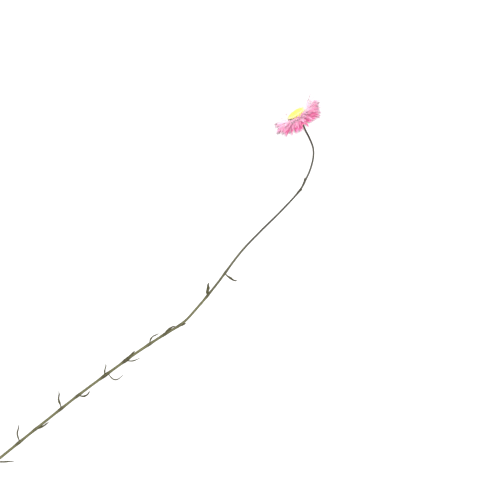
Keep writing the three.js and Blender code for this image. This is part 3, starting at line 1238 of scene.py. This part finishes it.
@dataclass
class Whorls:
    """Papery blades in whorls on a ring of tissue: what the pink bracts and the straw scales share.

    Fields that end in at, from and over are shares of a blade's length. belly and nose shape its outline,
    each with a value for a long thin point and one for a round one. collar_blade and collar_whorl are what
    the finish reads on the ring.
    """

    bloom: Bloom
    name: str
    whorls: tuple[Whorl, ...]
    collar_span: Pair
    pressed: float
    seed: int
    spread: Spread = Spread()
    columns: int = 12
    rows: int = 20
    steps: int = 10
    thickness: float = 0.15
    claw: float = 0.4
    widest_at: float = 0.62
    point: float = 0.13
    narrows_from: float = 0.52
    belly: Pair = (1.25, 2.6)
    nose: Pair = (1.0, 0.6)
    tip_width: float = 0.04
    slimmer: float = 1.0
    tears_from: float = 0.68
    rags: tuple[Wave, Wave] = (Wave(0.035, 9), Wave(0.02, 19))
    notched: float = 0.5
    notch_depth: float = 0.15
    notch_width: float = 0.2
    notch_middle: Pair = (-0.5, 0.5)
    curls_from: float = 0.62
    curl: Pair = (-34.0, 30.0)
    margin: Wave = Wave(0.07, 11)
    unrest: Wave = Wave(0.25, 5)
    pleats: float = 0.07
    pleat_radians: float = 9.0
    pleats_over: float = 0.2
    ripple: float = 0.22
    ripple_radians: float = 12.0
    ripples_over: float = 0.4
    collar_wall: float = 1.0
    collar_clearance: float = 0.45
    collar_sides: int = 48
    collar_rings: int = 5
    collar_blade: Place = (0.4, 0.05, 0.5)
    collar_whorl: Place = (0.6, 0.5, 0.2)
    gap: float = 0.3
    clearance: float = 0.1

    def solid_blades(self) -> list[Blade]:
        """The blades that the solids have too, each a little different from its neighbours.

        Returns:
            The blades, from the front whorl to the last.
        """
        random = SolidsRandom(self.seed)
        spread = self.spread
        blades = []
        for number, whorl in enumerate(self.whorls):
            for i in range(whorl.count):
                turn = (i + whorl.phase + about(random, spread.turn)) / whorl.count * FULL_TURN
                lean = spread.lean_at(turn, self.pressed, random)
                length, width, roll, cup, sway = (about(random, size) for size in spread.shape)
                grown = SHORT_SHARE if i == whorl.short else 1.0
                slopes = (whorl.slopes[0] + 0.5 * lean, whorl.slopes[1] + lean)
                blades.append(Blade(turn, whorl.root, whorl.length * (1 + length) * grown,
                                    whorl.width * (1 + width), slopes, roll, spread.least_cup + cup, sway,
                                    number / (len(self.whorls) - 1)))
        return blades

    def extra_blades(self, random: np.random.Generator) -> list[Blade]:
        """Blades between those of the solids; none unless a kind of whorl adds them."""
        return []

    def build(self) -> Workpiece:
        """Bends one flat blade into every blade, gives them a thickness and joins their ring to them.

        Returns:
            The whole piece.
        """
        flat = flat_sheet("flat_blade", self.columns, self.rows)
        random = np.random.default_rng(self.seed)
        blades = [*self.solid_blades(), *self.extra_blades(random)]
        bent = [self.bent(flat, blade, random) for blade in blades]
        flat.discard()
        piece = joined(self.name, bent)
        piece.thicken(self.thickness, material_offset=1)
        return joined(self.name, [piece, self.collar()])

    def taper(self, share: np.ndarray, bluntness: float) -> np.ndarray:
        """A blade's width as a share of its greatest: the solids' outline, drawn in to a fine point.

        Args:
            share: how far along the blade.
            bluntness: 0 for a long thin point, 1 for a round one.

        Returns:
            The width at each share.
        """
        width = self.slimmer * lerp(self.claw, 1.0, smooth(share / self.widest_at))
        past = np.clip((share - self.narrows_from) / (1 - self.narrows_from), 0, 1)
        narrowed = np.clip(1 - past ** lerp(*self.belly, bluntness), 0, 1) ** lerp(*self.nose, bluntness)
        return width * lerp(self.tip_width, 1.0, narrowed)

    def tear(self, side: np.ndarray, share: np.ndarray, phases: np.ndarray,
             fray: float) -> tuple[np.ndarray, np.ndarray]:
        """Tears the tip of a blade, and cuts a notch into some.

        Args:
            side: how far to the side each point is, -1 to 1.
            share: how far along the blade it is.
            phases: random numbers for the rags and the notch.
            fray: a random number, low where the tip has a notch.

        Returns:
            How torn the blade is at each point, and how far along it the point is then.
        """
        torn = smooth((share - self.tears_from) / (1 - self.tears_from))
        ragged = self.rags[0].at(side, phases[0]) + self.rags[1].at(side, phases[1])
        if fray < self.notched:
            notch = (side - lerp(*self.notch_middle, phases[2])) / self.notch_width
            ragged -= self.notch_depth * np.exp(-notch**2)
        return torn, np.clip(share * (1 - self.point * np.abs(side) * torn) + ragged * torn, 0, 1.02)

    def bent(self, flat: Workpiece, blade: Blade, random: np.random.Generator) -> Workpiece:
        """One blade in its place.

        Args:
            flat: the flat blade.
            blade: its measures.
            random: where its pleats, ripples and torn tip come from.

        Returns:
            The blade.
        """
        piece = flat.copy()
        grid = flat.points()
        side, share = grid[:, 0] * 2, grid[:, 1] + 0.5
        phases = random.random(8)
        tone, fray = random.random(2)
        torn, near = self.tear(side, share, phases, fray)
        gone = steps_to(near, self.steps)
        curled = np.clip((gone - self.curls_from) / (1 - self.curls_from), 0, 2) ** 2
        slopes = np.radians(lerp(*blade.slopes, gone) + lerp(*self.curl, phases[3]) * curled)
        forth, up = walked(slopes, blade.length * near)
        out, rise = blade.root[0] + forth, blade.root[1] + up
        radial = np.array([math.cos(blade.turn), math.sin(blade.turn), 0.0])
        round_way = np.array([math.sin(blade.turn), -math.cos(blade.turn), 0.0])
        face = UP * np.cos(slopes[:, -1:]) - radial * np.sin(slopes[:, -1:])
        margin = 1 + self.margin.at(share, phases[4]) * np.sign(side)
        reach = 0.5 * blade.width * self.taper(share, phases[1]) * side * margin
        tilt = blade.roll * near + self.unrest.at(near, phases[5]) * near**2
        pleats = self.pleats * np.cos(side * self.pleat_radians + phases[6])
        ripples = self.ripple * side**2 * np.sin(share * self.ripple_radians + phases[7] * 6 + side)
        folds = pleats * smooth(share / self.pleats_over) * (1 - 0.5 * torn)
        waves = ripples * smooth(share / self.ripples_over)
        lift = reach * np.sin(tilt) + blade.cup * np.abs(reach) + folds + waves
        sideways = reach * np.cos(tilt) + blade.sway * near**2 * blade.length
        self.bloom.seat(piece, radial * out[:, None] + UP * rise[:, None] + round_way * sideways[:, None]
                        + face * lift[:, None])
        piece.keep_above(self.clearance)
        piece.mark("blade", side, share, tone)
        piece.mark("whorl", blade.depth, math.sin(blade.turn), phases[0] * blade.dryness)
        return piece

    def collar(self) -> Workpiece:
        """The ring of tissue that follows the receptacle's flank and carries the blades.

        Returns:
            The ring, marked as the root of a blade.
        """
        low, high = self.collar_span
        inner = [(self.bloom.flank_radius(h) + self.collar_clearance, h - self.gap)
                 for h in np.linspace(low, high, self.collar_rings)]
        outer = [(radius + self.collar_wall, height) for radius, height in inner]
        ring = turned("tissue_ring", [*outer, *reversed(inner)], self.collar_sides, ring=True)
        ring.mark("blade", *self.collar_blade)
        ring.mark("whorl", *self.collar_whorl)
        self.bloom.seat(ring, ring.points())
        return ring


@dataclass
class PinkBracts(Whorls):
    """The papery pink bracts, with narrower ones between them.

    Of a length or width given as a pair, the first is the least and the second how much more chance adds.
    """

    name: str = "pink_bract_blades"
    whorls: tuple[Whorl, ...] = (
        Whorl(21, (6.2, 4.9), 17.4, 3.8, (44, -10), 0),
        Whorl(22, (6.1, 4.2), 17.8, 3.8, (27, -22), 0.5),
        Whorl(20, (5.8, 3.5), 15.2, 3.8, (8, -38), 0.5, 5),
        Whorl(15, (5.4, 2.9), 10.8, 3.5, (-12, -54), 0.7, 3),
    )
    collar_span: Pair = (2.6, 5.1)
    pressed: float = 15.0
    seed: int = 11
    columns: int = 9
    rows: int = 16
    slimmer: float = 0.84
    fillers: int = 112
    filler_unrest: float = 0.8
    filler_length: Pair = (0.78, 0.32)
    filler_width: Pair = (1.9, 1.3)
    filler_roll: float = math.radians(50)
    filler_cup: float = 0.4
    filler_sway: float = 0.16
    bare_turns: Pair = (84, 108)
    guards: int = 44
    guard_unrest: float = 0.6
    guard_root: Pair = (6.35, 5.2)
    guard_length: Pair = (8.0, 3.0)
    guard_width: Pair = (2.5, 0.8)
    guard_rise: float = 48.0
    guard_rise_spread: float = 6.0
    guard_droop: float = 56.0
    guard_roll: float = math.radians(16)
    guard_cup: float = 0.15
    guard_sway: float = 0.1
    guard_dryness: float = 0.2
    front_root: Pair = (6.04, 4.28)
    back_root: Pair = (5.4, 3.0)
    stray_depth: float = 0.2
    stray_shape: Place = (0.2, 0.3, 0.02)  # roll, cup and sway
    stray_dryness: float = 3.0
    strays: tuple[tuple[float, float, float, float, float], ...] = (
        (188, 47, 28, 19.0, 3.6), (232, 50, 30, 13.4, 1.6), (352, 30, 16, 19, 1.8), (8, 12, -6, 19.5, 2.0),
        (101, -34, -72, 10, 1.8), (354, 14, -12, 17, 2.8), (4, 8, -16, 17.5, 2.6), (14, 10, -18, 17, 2.8),
        (24, 4, -22, 16.5, 2.6), (68, -14, -46, 12.2, 3.2), (60, -8, -40, 13, 3.0), (108, -2, -36, 12, 3.2),
        (128, -8, -38, 13, 3.0), (143, -10, -46, 14.5, 3.0), (150, -6, -42, 15, 3.0), (158, -2, -36, 16, 2.8),
        (165, 22, -30, 16.5, 2.4), (178, 30, -8, 18.8, 2.0), (92, 34, -14, 9.5, 3.2), (82, 32, -18, 9, 3.0),
        (103, 30, -16, 9.5, 3.2))  # turn, slopes at root and tip, length and width

    def extra_blades(self, random: np.random.Generator) -> list[Blade]:
        """Narrow bracts that fill the gaps between the broad ones, small ones that stand round the disc, and
        a few that stray from the rest.

        Args:
            random: where their places and sizes come from.

        Returns:
            The bracts.
        """
        spaced = np.arange(self.fillers) + self.filler_unrest * random.random(self.fillers)
        turns = spaced / self.fillers * FULL_TURN
        blades = [self.filler(float(turn), i, random) for i, turn in enumerate(turns)]
        first, last = np.radians(self.bare_turns)
        blades = [blade for blade in blades if blade.depth < 0.5 or not first < blade.turn < last]
        blades += [self.guard(i, random) for i in range(self.guards)]
        return blades + [self.stray(*stray) for stray in self.strays]

    def filler(self, turn: float, number: int, random: Random) -> Blade:
        """A narrow bract somewhere between two whorls.

        Args:
            turn: its angle round the bloom.
            number: its place in the row, which sets how far back it sits.
            random: where its size and its bend come from.

        Returns:
            The bract.
        """
        last = len(self.whorls) - 1
        level = (number * GOLDEN_SHARE) % 1 * last
        near, far = self.whorls[int(level)], self.whorls[min(int(level) + 1, last)]
        share = level - int(level)
        lean = self.spread.lean_at(turn, self.pressed, random)
        root = (lerp(near.root[0], far.root[0], share), lerp(near.root[1], far.root[1], share))
        slopes = (lerp(near.slopes[0], far.slopes[0], share) + 0.5 * lean,
                  lerp(near.slopes[1], far.slopes[1], share) + lean)
        length = lerp(near.length, far.length, share) * above(random, *self.filler_length)
        roll, cup = about(random, self.filler_roll), above(random, 0, self.filler_cup)
        sway, width = about(random, self.filler_sway), above(random, *self.filler_width)
        return Blade(turn, root, length, width, slopes, roll, cup, sway, level / last)

    def guard(self, number: int, random: Random) -> Blade:
        """A small bract that stands up beside the disc and bends out over the front whorl.

        Args:
            number: its place in the row round the disc.
            random: where its size and its bend come from.

        Returns:
            The bract.
        """
        turn = (number + above(random, 0, self.guard_unrest)) / self.guards * FULL_TURN
        rise = self.guard_rise + about(random, self.guard_rise_spread)
        length, width = above(random, *self.guard_length), above(random, *self.guard_width)
        roll, sway = about(random, self.guard_roll), about(random, self.guard_sway)
        return Blade(turn, self.guard_root, length, width, (rise, rise - self.guard_droop), roll,
                     self.guard_cup, sway, 0.0, self.guard_dryness)

    def stray(self, turn: float, first: float, last: float, length: float, width: float) -> Blade:
        """A bract that strays from the rest: from the front where it rises, else from the last whorl.

        Args:
            turn: its angle round the bloom, in degrees.
            first, last: its slopes at root and tip, in degrees.
            length, width: its size.

        Returns:
            The bract.
        """
        root, depth = (self.back_root, 1.0) if first < 0 else (self.front_root, self.stray_depth)
        return Blade(math.radians(turn), root, length, width, (first, last), *self.stray_shape, depth,
                     self.stray_dryness)

    def dress(self, piece: Workpiece) -> bpy.types.Object:
        """Gives the bracts their pale inner and deeper outer face."""
        faces = [BractFinish().material(face) for face in (BractFace.INNER, BractFace.OUTER)]
        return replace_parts(piece.finish(Slot.PINK, 75, *faces), "pink_bracts")


@dataclass
class BaseScales(Whorls):
    """The small straw-coloured scales that clasp the base of the bloom."""

    name: str = "straw_scales"
    whorls: tuple[Whorl, ...] = (
        Whorl(13, (4.2, 1.6), 5.4, 2.8, (-14, -48), 0),
        Whorl(9, (3.2, 0.9), 4.2, 2.4, (-24, -58), 0.5),
    )
    collar_span: Pair = (0.5, 2.3)
    pressed: float = 0.0
    seed: int = 23
    columns: int = 8
    rows: int = 12
    thickness: float = 0.18
    pleats: float = 0.04
    ripple: float = 0.1

    def dress(self, piece: Workpiece) -> bpy.types.Object:
        """Gives the scales one finish on both faces."""
        finish = ScaleFinish().material()
        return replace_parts(piece.finish(Slot.STRAW, 75, finish, finish), "base_scales")


class FloretKind(Enum):
    """The rings of a floret as radius and height, before it is scaled, and how deep its lobes are cut."""

    OPEN = (((0.26, 0.0), (0.3, 0.8), (0.46, 1.1), (0.62, 1.2), (0.3, 1.04)), 0.3)
    BUD = (((0.28, 0.0), (0.36, 0.7), (0.3, 1.0), (0.12, 1.16)), 0.08)
    WITHERED = (((0.14, 0.0), (0.2, 0.6), (0.24, 0.95), (0.1, 1.25)), 0.2)


@dataclass
class Disc:
    """The yellow disc: a low dome packed with florets in a spiral, buds in the middle and open at the rim."""

    bloom: Bloom
    florets: int = 230
    ring_radius: float = 7.2
    crown: float = 9.65
    rim: float = 9.2
    rim_tilt: float = 24.0
    bud_share: float = 0.42
    bud_unrest: float = 0.1
    lean_unrest: float = 0.12
    bristles: int = 340
    withered_turns: tuple[float, ...] = (14, 22, 31, 37, 46, 52, 61, 70, 78, 112, 207, 318)
    dome_sides: int = 48
    # the dome's low height gives it the gold of the floret feet: painted shade between the florets
    dome_mark: Place = (0.3, 0.5, 0.6)
    dome: tuple[Pair, ...] = (
        (4.8, 5.5), (6.2, 7.35), (7.35, 8.7), (7.5, 9.0), (6.6, 9.15), (4.24, 9.6), (2.2, 9.8), (0.3, 9.85))
    sunk: float = 0.62
    floret_sides: int = 10
    lobes: int = 5
    size: Pair = (0.74, 0.94)  # of a floret in the middle and of one at the rim
    size_spread: Pair = (0.9, 0.25)  # here and below, the least and how much more by chance
    tall: Pair = (0.9, 0.3)
    withered_radius: Pair = (7.3, 0.5)
    withered_height: Pair = (8.0, 0.7)
    withered_lean: Pair = (45, 40)
    withered_size: Pair = (1.3, 1.1)  # across and along
    bristle_thickness: float = 0.07
    bristle_radius: Pair = (7.0, 0.7)
    bristle_height: Pair = (7.6, 0.8)
    bristle_lean: Pair = (18, 32)
    bristle_length: Pair = (1.9, 1.1)
    longer_below: Pair = (1.1, 0.35)  # beside the bloom's axis, and how much more under it
    seed: int = 17

    def pattern(self, kind: FloretKind) -> Workpiece:
        """One floret at the origin, with a star of five lobes.

        Args:
            kind: which floret.

        Returns:
            The floret.
        """
        rings, depth = kind.value
        piece = turned("floret_" + kind.name.lower(), rings, self.floret_sides)
        points = piece.points()
        angle = np.arctan2(points[:, 1], points[:, 0])
        height = points[:, 2] / rings[-2][1]
        points[:, :2] *= (1 + depth * np.cos(self.lobes * angle) * smooth((height - 0.5) / 0.5))[:, None]
        piece.place(points)
        return piece

    def planted(self, pattern: Workpiece, turn: float, radius: float, height: float, lean: float, size: float,
                tone: float, tall: float) -> Workpiece:
        """A floret or bristle planted on the disc.

        Args:
            pattern: the floret at the origin.
            turn: its angle round the bloom.
            radius: its distance from the bloom's axis.
            height: its foot's height in the bloom's frame.
            lean: how far it leans out.
            size: its scale across.
            tone: a random number for its colour.
            tall: its scale along.

        Returns:
            The planted copy.
        """
        piece = pattern.copy()
        points = pattern.points()
        share = points[:, 2] / points[:, 2].max()
        x, y = math.cos(lean), math.sin(lean)
        leaning = np.array([(x, 0, -y), (0, 1, 0), (y, 0, x)])
        x, y = math.cos(turn), math.sin(turn)
        turning = np.array([(x, y, 0), (-y, x, 0), (0, 0, 1)])
        stood = points * (size, size, tall) @ leaning + (radius, 0, height)
        self.bloom.seat(piece, stood @ turning)
        piece.mark("floret", share, radius / self.ring_radius, tone)
        return piece

    def floret(self, patterns: dict[FloretKind, Workpiece], number: int, random: Random) -> Workpiece:
        """One floret of the spiral: a bud in the middle, an open one further out.

        Args:
            patterns: the florets at the origin.
            number: its place on the spiral.
            random: where its lean, size and tone come from.

        Returns:
            The planted floret.
        """
        share = math.sqrt((number + 0.5) / self.florets)
        budding = share + about(random, self.bud_unrest) < self.bud_share
        height = lerp(self.crown, self.rim, share * share) - self.sunk
        lean = math.radians(self.rim_tilt) * share**2 + about(random, self.lean_unrest)
        size = lerp(*self.size, share) * above(random, *self.size_spread)
        tone, tall = random.random(), above(random, *self.tall)
        turn, radius = number * GOLDEN_ANGLE, self.ring_radius * share
        pattern = patterns[FloretKind.BUD if budding else FloretKind.OPEN]
        return self.planted(pattern, turn, radius, height, lean, size, tone, tall)

    def withered(self, pattern: Workpiece, turn: float, random: Random) -> Workpiece:
        """One withered floret that leans out under the rim.

        Args:
            pattern: the withered floret at the origin.
            turn: its angle round the bloom, in degrees.
            random: where its place, lean and tone come from.

        Returns:
            The planted floret.
        """
        radius, height = above(random, *self.withered_radius), above(random, *self.withered_height)
        lean = math.radians(above(random, *self.withered_lean))
        size, tall = self.withered_size
        return self.planted(pattern, math.radians(turn), radius, height, lean, size, random.random(), tall)

    def bristle(self, pattern: Workpiece, number: int, random: Random) -> Workpiece:
        """One bristle at the rim, longer on the side that turns to the surface.

        Args:
            pattern: the bristle at the origin.
            number: its place on the spiral round the rim.
            random: where its place, lean, tone and length come from.

        Returns:
            The planted bristle.
        """
        turn = number * GOLDEN_ANGLE
        radius, height = above(random, *self.bristle_radius), above(random, *self.bristle_height)
        lean, tone = math.radians(above(random, *self.bristle_lean)), random.random()
        middle, more = self.longer_below
        tall = above(random, *self.bristle_length) * (middle - more * math.sin(turn))
        return self.planted(pattern, turn, radius, height, lean, 1.0, tone, tall)

    def build(self) -> dict[str, Workpiece]:
        """Turns the dome and plants its florets, bristles and withered rim.

        Returns:
            The pieces by name.
        """
        random = np.random.default_rng(self.seed)
        dome = turned("disc_dome", self.dome, self.dome_sides)
        dome.mark("floret", *self.dome_mark)
        self.bloom.seat(dome, dome.points())
        patterns = {kind: self.pattern(kind) for kind in FloretKind}
        florets = [self.floret(patterns, i, random) for i in range(self.florets)]
        shrunk = patterns[FloretKind.WITHERED]
        withered = [self.withered(shrunk, turn, random) for turn in self.withered_turns]
        bpy.ops.mesh.primitive_cone_add(vertices=3, radius1=self.bristle_thickness, radius2=0.0, depth=1,
                                        location=(0, 0, 0))
        hair = Workpiece.begun("bristle")
        hair.lift(0.5)
        bristles = [self.bristle(hair, i, random) for i in range(self.bristles)]
        for pattern in (*patterns.values(), hair):
            pattern.discard()
        return {"florets": joined("disc_florets_fine", [dome, *florets]),
                "withered": joined("withered_rim_florets", withered),
                "bristles": joined("silky_bristles", bristles)}

    def dress(self, pieces: dict[str, Workpiece]) -> None:
        """Gives the florets, the withered ones and the bristles their finishes.

        Args:
            pieces: the pieces by name.
        """
        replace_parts(pieces["florets"].finish(Slot.YELLOW, 60, FloretFinish().material()), "disc_florets")
        pieces["withered"].finish(Slot.YELLOW, 60, WitheredFinish().material())
        pieces["bristles"].finish(Slot.YELLOW, 60, BristleFinish().material())


# The studio


@dataclass
class Studio:
    """A large pale floor, soft light from all round and a camera straight above."""

    floor_size: float = 9.0
    floor_height: float = -0.0001
    camera_place: Place = (0.0944, -0.0237, 1.59375)
    camera_turn: float = -46.6
    lens: float = 135.0
    sensor: float = 36.0
    clip: Pair = (0.05, 50.0)
    sky: float = 0.3
    aim: float = 0.12
    lamps: tuple[tuple[str, Place, float, float], ...] = (
        ("key_window", (0.1, 1.3, 1.7), 1.4, 3.5),
        ("fill_window", (0.9, -1.1, 1.5), 1.6, 3.0),
        ("ceiling_light", (0.14, 0.0, 1.75), 0.16, 49.5))

    def build(self) -> None:
        """Sets up the floor, the sky, the lamps and the camera."""
        scene = bpy.context.scene
        scene.view_settings.view_transform = "Standard"
        deselect_everything()
        bpy.ops.mesh.primitive_plane_add(size=self.floor_size, location=(0, 0, 0))
        floor = Workpiece.begun("floor")
        floor.lift(self.floor_height)
        floor.obj.data.materials.append(FloorFinish().material())
        world = bpy.data.worlds.new("soft_sky")
        world.use_nodes = True
        light = world.node_tree.nodes["Background"].inputs
        light["Color"].default_value, light["Strength"].default_value = WHITE, self.sky
        scene.world = world
        for lamp in self.lamps:
            self.lamp(*lamp)
        turn = (0, 0, math.radians(self.camera_turn))
        bpy.ops.object.camera_add(location=self.camera_place, rotation=turn)
        camera = bpy.context.object
        camera.name = "overhead_camera"
        camera.data.lens, camera.data.sensor_width = self.lens, self.sensor
        camera.data.clip_start, camera.data.clip_end = self.clip
        scene.camera = camera

    def lamp(self, name: str, place: Place, size: float, power: float) -> None:
        """A soft square lamp that looks at a place on the stem.

        Args:
            name: the lamp's name.
            place: where it hangs, in metres.
            size: its width, in metres.
            power: its power, in watts.
        """
        x, y, z = self.aim - place[0], -place[1], -place[2]
        tilt, turn = math.atan2(math.hypot(x, y), -z), math.atan2(y, x) - math.pi / 2
        bpy.ops.object.light_add(type="AREA", location=place, rotation=(tilt, 0, turn))
        lamp = bpy.context.object
        lamp.name = name
        lamp.data.size, lamp.data.energy = size, power


def main() -> None:
    """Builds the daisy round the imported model, piece by piece."""
    logging.basicConfig(level=logging.INFO, format="%(name)s %(message)s")
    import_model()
    deselect_everything()
    route = StemRoute()
    log.info("the stem is %.1f mm long", route.length)
    stem = Stem(route)
    skin = stem.dress(stem.build()).data.materials[0]
    leaves = Leaves(route)
    leaves.dress(leaves.build())
    bloom = Bloom(route)
    receptacle = Receptacle(bloom)
    receptacle.dress(receptacle.build(), skin)
    for whorls in (PinkBracts(bloom), BaseScales(bloom)):
        whorls.dress(whorls.build())
    disc = Disc(bloom)
    disc.dress(disc.build())
    Studio().build()


if __name__ == "__main__":
    main()
